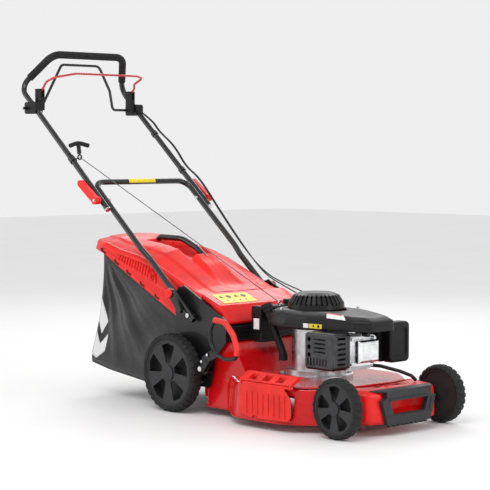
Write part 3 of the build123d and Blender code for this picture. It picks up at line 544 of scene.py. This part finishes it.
# X, half width, height of the side, height of the crown
LID_STATIONS = (
    (-566, 112, 22, 6), (-556, 142, 30, 9), (-530, 176, 34, 14), (-466, 202, 34, 24),
    (-380, 203, 52, 30), (-280, 203, 84, 40), (-184, 203, 110, 44), (-60, 203, 122, 30),
    (46, 203, 130, 9), (96, 203, 142, 4),
)


def lid_low(x):
    """Height of the lid's lower edge."""
    if x < LID_FOOT:
        return LID_FOOT_Z + (LID_FOOT - x) * 0.15
    return LID_MOUTH_Z + (LID_MOUTH - x) * LID_SLOPE


def lid_point(x, v):
    """A point of the lid: v runs from -1 at the right lower edge over the crown to 1."""
    half, height, crown = between(LID_STATIONS, x)
    low = lid_low(min(x, LID_MOUTH)) + 40 * smooth(LID_MOUTH, 62, x)
    side = -1 if v < 0 else 1
    a = 1 - abs(v)
    shoulder = lid_low(x) + height
    if a < LID_SIDE:
        t = a / LID_SIDE
        z = low + (shoulder - CORNER_HIGH - low) * t
        y = half - 2.5 * t + 2.0 * (1 - smooth(0.0, 0.12, t))
        ledge = smooth(0.5, 0.56, t) * 3.0
        return Vector((x, side * (y - ledge), z))
    t = (a - LID_SIDE) / (1 - LID_SIDE)
    edge = half - 5.5
    if t < LID_CORNER:
        angle = t / LID_CORNER * math.pi / 2
        y = edge - CORNER_WIDE * (1 - math.cos(angle))
        return Vector((x, side * y, shoulder - CORNER_HIGH + CORNER_HIGH * math.sin(angle)))
    s = (t - LID_CORNER) / (1 - LID_CORNER)
    y = (edge - CORNER_WIDE) * (1 - s)
    ridge = 3.0 * smooth(0.24, 0.34, s) + crown * (1 - (1 - s) ** 2)
    ridge -= 0.35 * crown * smooth(-130, -60, x) * (1 - smooth(30, 60, y)) * s
    z = shoulder + ridge
    # a hump at the front of the crown and a hollow under the bag's handle behind it
    z += 20 * smooth(-152, -126, x) * (1 - smooth(-70, 40, x)) * (1 - smooth(34, 66, y))
    dip = smooth(-374, -356, x) * (1 - smooth(-128, -108, x)) * (1 - smooth(54, 66, y))
    z -= dip * (22 + 20 * smooth(-372, -250, x))
    return Vector((x, side * y, z))


# closer together where the end is round and where the slots are
LID_XS = [-566, -563, -559, -553, -545, -535, -524, -510, -494, -478, -462, -448]
LID_XS += [-440 + 2.5 * k for k in range(100)]
LID_XS += [-190 + 6 * k for k in range(48)] + [97]
LID_REAR = LID_XS[0]
ACROSS = [-1 + 2 * k / 180 for k in range(181)]
SLOTS_FROM, SLOTS_TO = -372, -146  # the row of leaning slots in the lid's side
SLOT_PITCH, SLOT_DEPTH = 15, 8

lid_rows = []
for x in LID_XS:
    row = [lid_point(x, v) for v in ACROSS]
    for point, v in zip(row, ACROSS):
        a = 1 - abs(v)
        if a < LID_SIDE and SLOTS_FROM < x < SLOTS_TO:
            t = a / LID_SIDE
            lean = x + 10 * math.sin(t * 2.6) - 7 * t
            inside = smooth(0.46, 0.5, t) * (1 - smooth(0.97, 1.0, t))
            if (lean - SLOTS_FROM) % SLOT_PITCH / SLOT_PITCH < 0.46:
                point.y -= math.copysign(SLOT_DEPTH * inside, v)
    lid_rows.append([tuple(p) for p in row])
points, faces = skin(lid_rows)
lid = piece("lid_shell", points, faces, lid_red, angle=35)
finish_mesh(lid, 3)
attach(lid, "grass_bag")
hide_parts("bag_lid")

rear_edge = [tuple(lid_point(LID_REAR, v)) for v in ACROSS]
rear_foot = [(LID_REAR - 0.5, y * 0.98, lid_low(LID_REAR) - 1) for _, y, _ in rear_edge]
points, faces = skin([rear_edge, rear_foot])
piece("lid_rear_wall", points, faces, lid_red, "grass_bag")

BAG_HALF = 199
BAG_LONG, BAG_DEEP = 500, 300  # rough size of the side panel
CREASE_FROM = Vector((-462, 560))  # X and Z of the corner that the creases run from
CREASES = ((9, 5.0, 0.4), (17, 2.6, 1.9), (5, 6.0, 2.4))  # how many, how deep, turned by how much
# part of the way along the panel, X, Z
BAG_BOTTOM = (
    (0.0, 44, 188), (0.1, -8, 188), (0.17, -60, 186), (0.22, -92, 110), (0.3, -130, 88),
    (0.45, -226, 80), (0.75, -438, 105), (1.0, -561, 128),
)


def bag_side_point(s, r, side):
    """A point of the bag's side panel: s from the mouth to the rear, r from the lid down."""
    top = Vector((44 - 514 * s, 311 + 238 * s))
    p = top.lerp(Vector(between(BAG_BOTTOM, s)), r)
    p.x += 25 * 4 * r * (1 - r) * s ** 5
    away = p - CREASE_FROM
    angle = math.atan2(away.y, away.x)
    reach = min(1.0, away.length / 120) * (1 - 0.55 * smooth(150, 520, away.length))
    folds = 0.0
    for count, weight, offset in CREASES:
        folds += weight * (abs(math.sin(angle * count + offset)) - 0.5)
    wobble = noise.noise(Vector((p.x * 0.006, p.y * 0.009, side * 3.0))) * 9
    edge = min(min(s, 1 - s) * BAG_LONG, min(r, 1 - r) * BAG_DEEP)
    free = smooth(0, 60, edge)
    inward = 6 + (folds * reach + wobble + 4) * free
    inward += 10 * (1 - smooth(0, 12, (1 - r) * BAG_DEEP))
    inward += 10 * (1 - smooth(0, 12, (1 - s) * BAG_LONG))
    return (p.x, side * (BAG_HALF - max(0.5, inward)), p.y)


def bag_edge(side, along, up):
    """The lower edge and then the rear edge of a side panel, in so many steps each."""
    line = [bag_side_point(i / along, 1, side) for i in range(along + 1)]
    return line + [bag_side_point(1, 1 - j / up, side) for j in range(1, up + 1)]


for hand, side in HANDS:
    rows = [[bag_side_point(i / 90, j / 70, side) for j in range(71)] for i in range(91)]
    points, faces = skin(rows)
    panel = piece(f"bag_side_{hand}", points, faces, cloth, angle=80)
    finish_mesh(panel, 1.2 * side, 1)
    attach(panel, "grass_bag")
    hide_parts("bag_fabric")
    line = [at(*p) for p in bag_edge(side, 30, 12)]
    seam = tube_mesh(f"bag_piping_{hand}", line, 3.2, piping, 10)
    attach(seam, "grass_bag")

# the bag's bottom and rear, one sheet from the left edge to the right
rows = []
for k in range(33):
    t = -1 + 2 * k / 32
    sag = 1 - t * t
    row = []
    for i, (x, y, z) in enumerate(bag_edge(1, 60, 40)):
        lower = 5 * sag * smooth(10, 30, i) * (1 - smooth(50, 62, i))
        rear = 4 * sag * smooth(60, 75, i) * (1 - smooth(90, 100, i))
        lumps = noise.noise(Vector((x * 0.012, t * 2.4, z * 0.012))) * 5 * sag
        swell = rear + lumps * 0.4 * smooth(60, 70, i)
        droop = lower * 0.4 + lumps * (1 - smooth(58, 66, i))
        row.append((x + swell, t * y, z + droop))
    rows.append(row)
points, faces = skin(rows)
bottom = piece("bag_base", points, faces, cloth, angle=80)
finish_mesh(bottom, 1.2)
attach(bottom, "grass_bag")


def on_side(u, w, side):
    """A point a little proud of the side panel."""
    x, y, z = bag_side_point(u, w, side)
    return (x, y + side * 0.6, z)


def bag_stripe(name, corners, side):
    """A white printed band on the side panel, between four panel positions."""
    a, b, c, d = corners
    rows = []
    for i in range(25):
        first, second = lerp(a, b, i / 24), lerp(d, c, i / 24)
        rows.append([on_side(*lerp(first, second, j / 6), side) for j in range(7)])
    points, faces = skin(rows)
    obj = piece(name, points, faces, stripe, angle=80)
    finish_mesh(obj, 0.4 * side)
    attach(obj, "grass_bag")


STRIPES = {
    "high": [(0.985, 0.40), (0.875, 0.58), (0.925, 0.72), (0.985, 0.60)],
    "low": [(0.985, 0.70), (0.92, 0.81), (0.92, 0.95), (0.985, 0.93)],
    "tip": [(0.92, 0.81), (0.85, 0.69), (0.845, 0.86), (0.92, 0.95)],
}
for hand, side in HANDS:
    for place, corners in STRIPES.items():
        bag_stripe(f"stripe_{place}_{hand}", corners, side)

# black clips that hook the fabric to the lid
CLIP_SHAPE = [(-13, 10), (-8, 10), (-6, 3), (12, -5), (13, -11), (-10, -1)]
for hand, side in HANDS:
    for index, x in enumerate((-452, -372, -300, -222, -138)):
        z = lid_low(x) + 9
        rows = [[(x + dx, side * y, z + dz) for dx, dz in CLIP_SHAPE] for y in (202.0, 208.6)]
        points, faces = skin(rows, True, True)
        clip = piece(f"bag_clip_{hand}_{index}", points, faces, black_plastic)
        finish_mesh(clip, bevel=0.8)
        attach(clip, "grass_bag")


def lid_patch(name, x0, x1, v0, v1, lift, finish):
    """A patch that follows the lid's surface, a little above it."""
    rows = []
    for i in range(17):
        row = []
        for k in range(13):
            p = lid_point(x0 + (x1 - x0) * i / 16, v0 + (v1 - v0) * k / 12)
            row.append((p.x, p.y, p.z + lift))
        rows.append(row)
    points, faces = skin(rows)
    patch = piece(name, points, faces, finish)
    finish_mesh(patch, 0.8)
    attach(patch, "grass_bag")


lid_patch("window_frame", -412, -318, -0.69, -0.50, 0.9, gloss_black)
lid_patch("window_pane", -400, -334, -0.66, -0.54, 1.8, white_film)

# ---- engine cowl ----------------------------------------------------------------------------
COWL = [(326, -146), (560, -142), (745, -112), (800, -70), (800, 40), (745, 66), (600, 118), (326, 146)]
COWL_BENDS = [126, 90, 40, 16, 16, 40, 90, 126]
COWL_CENTRE = Vector((540, -6))
COWL_TOP = 388.4
COWL_POINTS = 176
COWL_SHOULDER = 8  # the level that shows how far along the cowl a point is
FAN_RADIUS = 96
# how far the ring is drawn in, Z
COWL_LEVELS = [(4, 334), (0.5, 331.5), (0, 333), (0, 350), (1.4, 351), (1.4, 366), (2.4, 370), (6, 374),
               (16, 380), (29, 386), (35, 387.8), (42, COWL_TOP)]


def cowl_ring(inset, z):
    """One level ring of the cowl, drawn in by an amount and lower towards the front."""
    ring = []
    for p in rounded(COWL, COWL_BENDS, COWL_POINTS):
        away = p - COWL_CENTRE
        q = p - away.normalized() * inset
        drop = 10 * smooth(600, 800, q.x)
        ring.append((q.x, q.y, z - drop * smooth(345, 388, z)))
    return ring


cowl_rows = [cowl_ring(inset, z) for inset, z in COWL_LEVELS]
rim = cowl_rows[-1]
for amount in (0.35, 0.8):  # part of the way from the rim to the fan's opening
    ring = []
    for x, y, _ in rim:
        angle = math.atan2(y, x - CRANK_X)
        inner = (CRANK_X + FAN_RADIUS * math.cos(angle), FAN_RADIUS * math.sin(angle))
        fall = 10 * smooth(600, 800, x) * (1 - amount)
        ring.append((*lerp((x, y), inner, amount), COWL_TOP - fall))
    cowl_rows.append(ring)
points, faces = skin(cowl_rows, True)
cowl = piece("cowl_shell", points, faces, engine_plastic, angle=50)
face_outwards(cowl)
cowl.data.shade_smooth()
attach(cowl, "deck")
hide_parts("engine_cowl")


# ---- stickers and turned details ------------------------------------------------------------
def plate(name, corners, finish, body, thick, bevel):
    """A thin plate on three or more corners, pushed out along its normal."""
    pts = [Vector(c) for c in corners]
    normal = (pts[1] - pts[0]).cross(pts[-1] - pts[0]).normalized()
    rows = [[tuple(p) for p in pts], [tuple(p + normal * thick) for p in pts]]
    points, faces = skin(rows, True, True)
    obj = piece(name, points, faces, finish)
    face_outwards(obj)
    if bevel:
        finish_mesh(obj, bevel=bevel)
    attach(obj, body)


def rect(name, origin, along, up, size, finish, body, thick=0.5):
    """A thin rectangle, centred on a point, with its long side along one direction."""
    o, a, u = Vector(origin), Vector(along).normalized(), Vector(up).normalized()
    w, h = size[0] / 2, size[1] / 2
    corners = [o - a * w - u * h, o + a * w - u * h, o + a * w + u * h, o - a * w + u * h]
    plate(name, corners, finish, body, thick, 0.15)


def sign(name, origin, along, up, size, body, marks):
    """A plain yellow sticker with dark marks: each has a place, a size and a number of corners."""
    rect(name, origin, along, up, size, yellow_film, body)
    o, a, u = Vector(origin), Vector(along).normalized(), Vector(up).normalized()
    normal = a.cross(u)
    for index, (x, y, r, corners) in enumerate(marks):
        middle = o + a * x + u * y + normal * 0.45
        shape = []
        for k in range(corners):
            turn = 2 * math.pi * k / corners + (math.pi / 2 if corners == 3 else math.pi / 4)
            shape.append(middle + a * r * math.cos(turn) + u * r * math.sin(turn))
        plate(f"{name}_mark_{index}", shape, ink, body, 0.25, 0)


sign("flap_sticker", (150, -85, 407.4), LEFT, (-94, 0, 36), (165, 74), "flap",
     [(-58, 12, 12, 3), (-22, 12, 11, 12), (14, 12, 12, 3), (50, 12, 11, 12), (-50, -18, 5, 4),
      (-20, -18, 5, 4), (10, -18, 5, 4), (40, -18, 5, 4)])
COWL_SIDE = (185, 30, 0)
sign("cowl_sticker", (601, -135.9, 342.5), COWL_SIDE, UP, (52, 15), "deck",
     [(-8, 0, 6, 3), (12, 0, 5, 12)])
rect("cowl_sticker_white", (562, -142.3, 342.5), COWL_SIDE, UP, (22, 15), white_film,
     "deck")


def cowl_patch(name, x0, x1, low, high, lift, finish):
    """A sticker that follows the cowl's right shoulder between two of its levels."""
    along = [k for k, p in enumerate(cowl_rows[COWL_SHOULDER]) if x0 < p[0] < x1 and p[1] < -60]
    rows = []
    for step in range(7):
        level = low + (high - low) * step / 6
        base = min(int(level), len(cowl_rows) - 2)
        row = []
        for k in along:
            p = Vector(cowl_rows[base][k]).lerp(Vector(cowl_rows[base + 1][k]), level - base)
            row.append((p.x, p.y - 0.6 * lift, p.z + lift))
        rows.append(row)
    points, faces = skin(rows)
    patch = piece(name, points, faces, finish)
    finish_mesh(patch, 0.4)
    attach(patch, "deck")


cowl_patch("cowl_top_sticker", 628, 712, 6.6, 9.6, 0.9, white_film)
cowl_patch("cowl_top_stripe", 634, 706, 8.8, 9.4, 1.5, door_red)
rect("tank_sticker", (289, -112.1, 326), FORWARDS, UP, (28, 38), white_film, "deck")

bar = Vector(up_handle(715))  # the cross bar of the lower handle
WRAP_RADIUS, WRAP_HALF = 11.35, 66
around = [math.radians(-20 + 14 * i) for i in range(13)]
rows = [[(bar.x + WRAP_RADIUS * math.cos(a), -WRAP_HALF + 2 * WRAP_HALF * k / 8,
          bar.z + WRAP_RADIUS * math.sin(a)) for a in around] for k in range(9)]
points, faces = skin(rows)
piece("crossbar_sticker", points, faces, yellow_film, "lower_handle_unit")


def lathe(name, centre, axis, profile, finish, body, sides=40):
    """A turned piece: the profile gives distances along the axis and radii."""
    c, a = Vector(centre), Vector(axis).normalized()
    first = a.orthogonal().normalized()
    second = a.cross(first)
    rows = []
    for along, radius in profile:
        rows.append([tuple(c + a * along + (first * math.cos(t) + second * math.sin(t)) * radius)
                     for t in [2 * math.pi * k / sides for k in range(sides)]])
    points, faces = skin(rows, True, True)
    obj = piece(name, points, faces, finish, angle=35)
    face_outwards(obj)
    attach(obj, body)


lathe("starter_drum", (CRANK_X, 0, 392), UP, [(0, 68), (34, 66), (40, 50)], black_plastic,
      "deck")
rect("head_pad", (764, -43, 264), LEFT, UP, (62, 44), bright_cap, "deck", 1.5)
QUICK_HEAD = [(0, 17), (5, 17), (7.5, 14.5), (8.5, 9), (6.8, 8), (6.8, 4), (8, 3.4)]
CAM_CAP = [(0, 6), (1.8, 6), (3, 4.6), (3.3, 2)]
RIVET = [(0, 5.5), (1.2, 5.2), (2.2, 3.4), (2.6, 1)]
fold_x, _, fold_z = up_handle(HANDLE_JOINT)
for hand, side in HANDS:
    outwards = (0, side, 0)
    lathe(f"quick_head_{hand}", (-12, side * 258, 424), outwards, QUICK_HEAD, door_red,
          f"quick_release_{hand}")
    lathe(f"cam_cap_{hand}", (fold_x, side * 290.6, fold_z), outwards, CAM_CAP, zinc,
          f"cam_lever_{hand}")
    for axle, x, radius in (("rear", 0, REAR_RADIUS), ("front", FRONT_AXLE_X, FRONT_RADIUS)):
        hub = 0.17 * radius
        lathe(f"hub_cap_{axle}_{hand}", (x, side * (TYRE_OUTSIDE - 1.6), radius), outwards,
              [(-1, hub + 5), (0.4, hub + 5), (1.2, hub + 3), (0.4, hub - 1), (0.4, 7), (1.4, 5)],
              rim_plastic, f"{axle}_wheel_{hand}")
for index, (x, z) in enumerate(((176, 196), (206, 222))):
    lathe(f"lever_rivet_{index}", (x, -271.2, z), (0, -1, 0), RIVET, zinc,
          "height_lever_unit")


# ---- front cover ----------------------------------------------------------------------------
COVER = [(739, -201), (800, -190), (868, -166), (884, -120),
         (884, 120), (868, 166), (800, 190), (739, 201)]
COVER_BENDS = [4, 80, 30, 30, 30, 30, 80, 4]
COVER_REAR, COVER_FRONT = 739, 884
COVER_POINTS = 300
COVER_MIDDLE = Vector((790, 0))
# how far the ring is drawn in, Z
COVER_LEVELS = [(0, 42), (0, 57), (0, 72), (0, 84), (0, 98), (0, 112), (0, 122), (0, 130), (1, 136),
                (4, 141), (9, 144.6), (16, 146), (60, 146), (120, 146)]


def cover_ring(inset, z):
    """One level ring of the cover, drawn in by an amount and leaning back at the front."""
    ring = []
    for p in rounded(COVER, COVER_BENDS, COVER_POINTS):
        away = p - COVER_MIDDLE
        q = p - away.normalized() * inset * smooth(COVER_REAR, 760, p.x)
        lean = 10 * smooth(60, 146, z) * smooth(830, COVER_FRONT, p.x)
        ring.append((q.x - lean * 0.5, q.y, z))
    return ring


def cover_hole(x, y, z):
    """The open rear, the slots for the front axle and the opening for the hand."""
    if x < 742 and z < 142:
        return True
    if 806 < x < 834 and z < 112:
        return True
    return x > 856 and abs(y) < 92 and 72 < z < 122


def face_middle(points, face):
    """The mean of a face's points."""
    return [sum(points[i][k] for i in face) / len(face) for k in range(3)]


points, faces = skin([cover_ring(inset, z) for inset, z in COVER_LEVELS], True)
faces = [face for face in faces if not cover_hole(*face_middle(points, face))]
cover = piece("nose_cover", points, faces, cover_red, angle=50)
finish_mesh(cover, -2.6)
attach(cover, "deck")
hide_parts("front_cover")

# the pocket behind the hand opening: X, half width, lowest and highest Z of each ring
POCKET_MOUTH = 876
POCKET = ((POCKET_MOUTH, 96, 68, 126), (866, 93, 70, 123), (848, 84, 76, 118), (845, 80, 79, 115),
          (844.5, 40, 92, 102))
rows = []
for x, half, low, high in POCKET:
    corners = [(-half, low), (half, low), (half, high), (-half, high)]
    bend = 0.35 * (high - low)
    rows.append([(x, p.x, p.y) for p in rounded(corners, [bend] * 4, 64)])
points, faces = skin(rows, True, True)
faces = [face for face in faces if face_middle(points, face)[0] < POCKET_MOUTH - 0.1]
piece("nose_pocket", points, faces, cover_red, "deck")

# bumper: a black strip painted as the shadow in the groove along the lower bar, a step along the bar,
# raised lips round the hand opening
LIP_X = 902.3
# painted shadow: a thin black strip laid on the bumper where the groove along the lower bar lies in
# shade
rect("bumper_groove_shadow", (902.1, 0, 61), LEFT, UP, (226, 3), gloss_black, "deck", 0.4)
LIPS = [("step", 0, 65.5, LEFT, UP, (232, 5), 2.2)]
for hand, side in HANDS:
    LIPS.append((f"cheek_{hand}", side * 107, 94, (0, side * 14, 40), (0, -side * 40, 14), (42, 5), 2.2))
LIPS.append(("brow", 0, 121, LEFT, UP, (196, 5), 2.6))
for name, y, z, along, up, size, thick in LIPS:
    rect(f"bumper_{name}", (LIP_X, y, z), along, up, size, bumper_plastic, "deck",
         thick)

# ---- cords ----------------------------------------------------------------------------------
GUIDE = (-566, -226, 908)  # the rope's guide on the upper handle
ROPE_END = (366, -72, 403)  # the eyelet beside the recoil cover
ROPE_MIDDLE = tuple((a + b) / 2 for a, b in zip(GUIDE, ROPE_END))


def straight(first, second, steps):
    """Points on a straight line, its ends included."""
    return [tuple(a + (b - a) * k / steps for a, b in zip(first, second)) for k in range(steps + 1)]


for name, start, end, bodies in (
    ("rope_low", ROPE_END, ROPE_MIDDLE, ("deck", "lower_handle_unit")),
    ("rope_high", ROPE_MIDDLE, GUIDE, ("lower_handle_unit", "upper_handle_unit")),
):
    line = route_points(name + "_route", straight(start, end, 4))
    rope = tube_mesh(name, line, 1.8, rope_finish, 12, 0.008)
    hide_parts("starter_rope")
    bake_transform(rope)

# two control cables side by side, from the control housing down the left tube to the engine
CABLE_RADIUS = 2.4
TUBE_Y = 255
CABLE_OFF = 17.5  # from the middle of the tube to the cables
CABLES_LOW = (
    [(-20, 226, 474), (90, 217, 440), (190, 212, 418), (262, 196, 398), (318, 156, 374)],
    [(-30, 233, 468), (80, 225, 431), (180, 219, 400), (246, 204, 360), (290, 164, 318)],
)
for index, low in enumerate(CABLES_LOW):
    shift = 6 * index
    out = TUBE_Y + 8 + shift
    # distance along the handle, Y, distance off the tube's middle
    run = [(1128, 250 + shift, 14), (1050, out, CABLE_OFF + 8), (1001, out, CABLE_OFF),
           (890, out + 3, CABLE_OFF + 16), (779, out, CABLE_OFF), (700, out + 8, CABLE_OFF + 14),
           (500, 250 + shift, CABLE_OFF + 10), (311, 244 + shift, CABLE_OFF)]
    line = route_points(f"cable_route_{index}", [up_handle(*place) for place in run] + low)
    crossing = at(*up_handle(330, 245, CABLE_OFF))
    split = min(range(len(line)), key=lambda k: (line[k] - crossing).length)
    upper = tube_mesh(f"cable_high_{index}", line[:split + 1], CABLE_RADIUS, jacket, 10)
    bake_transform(upper)
    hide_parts("control_cables")
    lower = tube_mesh(f"cable_low_{index}", line[split:], CABLE_RADIUS, jacket, 10)
    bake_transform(lower)

# ---- stage, light and camera ----------------------------------------------------------------
bpy.ops.mesh.primitive_plane_add(size=30, location=(0, 0, 0))
floor = bpy.context.object
floor.name = "floor"
ground = Finish("floor_pale", (0.86, 0.86, 0.86), 0.6)
ground.mottle(0.01, 2)
floor.data.materials.append(ground.material)

world = bpy.data.worlds.new("studio")
bpy.context.scene.world = world
world.use_nodes = True
background = world.node_tree.nodes["Background"]
background.inputs["Color"].default_value = (1, 1, 1, 1)
background.inputs["Strength"].default_value = 0.86

# name, place and target in metres, width and height in metres, watts
LIGHTS = (
    ("key", (1.6, -2.6, 3.6), (0.0, 0.0, 0.4), (2.6, 1.6), 60),
    ("fill", (-2.6, -3.0, 1.6), (0.0, 0.0, 0.4), (1.4, 2.2), 16),
    ("front", (4.0, 0.6, 1.7), (0.3, 0.0, 0.3), (1.0, 2.4), 26),
    ("rim", (-2.2, 2.6, 2.8), (0.0, 0.0, 0.6), (2.4, 1.2), 34),
)
for name, place, target, size, power in LIGHTS:
    light = bpy.data.lights.new(name, "AREA")
    light.shape = "RECTANGLE"
    light.size, light.size_y = size
    light.energy = power
    lamp = bpy.data.objects.new(name, light)
    bpy.context.scene.collection.objects.link(lamp)
    lamp.location = place
    lamp.rotation_euler = (Vector(target) - Vector(place)).to_track_quat("-Z", "Y").to_euler()

CAMERA_PLACE = (4534, -4167, 931)
CAMERA_TURN = (86.8, 0.03, 46.7)  # degrees about X, Y and Z
SENSOR_WIDTH, FOCAL_LENGTH = 36, 123.53
FAR_END = 100  # metres

camera_data = bpy.data.cameras.new("camera")
camera_data.sensor_width = SENSOR_WIDTH
camera_data.lens = FOCAL_LENGTH
camera_data.clip_end = FAR_END
camera = bpy.data.objects.new("camera", camera_data)
bpy.context.scene.collection.objects.link(camera)
camera.location = at(*CAMERA_PLACE)
camera.rotation_euler = [math.radians(angle) for angle in CAMERA_TURN]
bpy.context.scene.camera = camera
bpy.context.scene.view_settings.view_transform = "Standard"
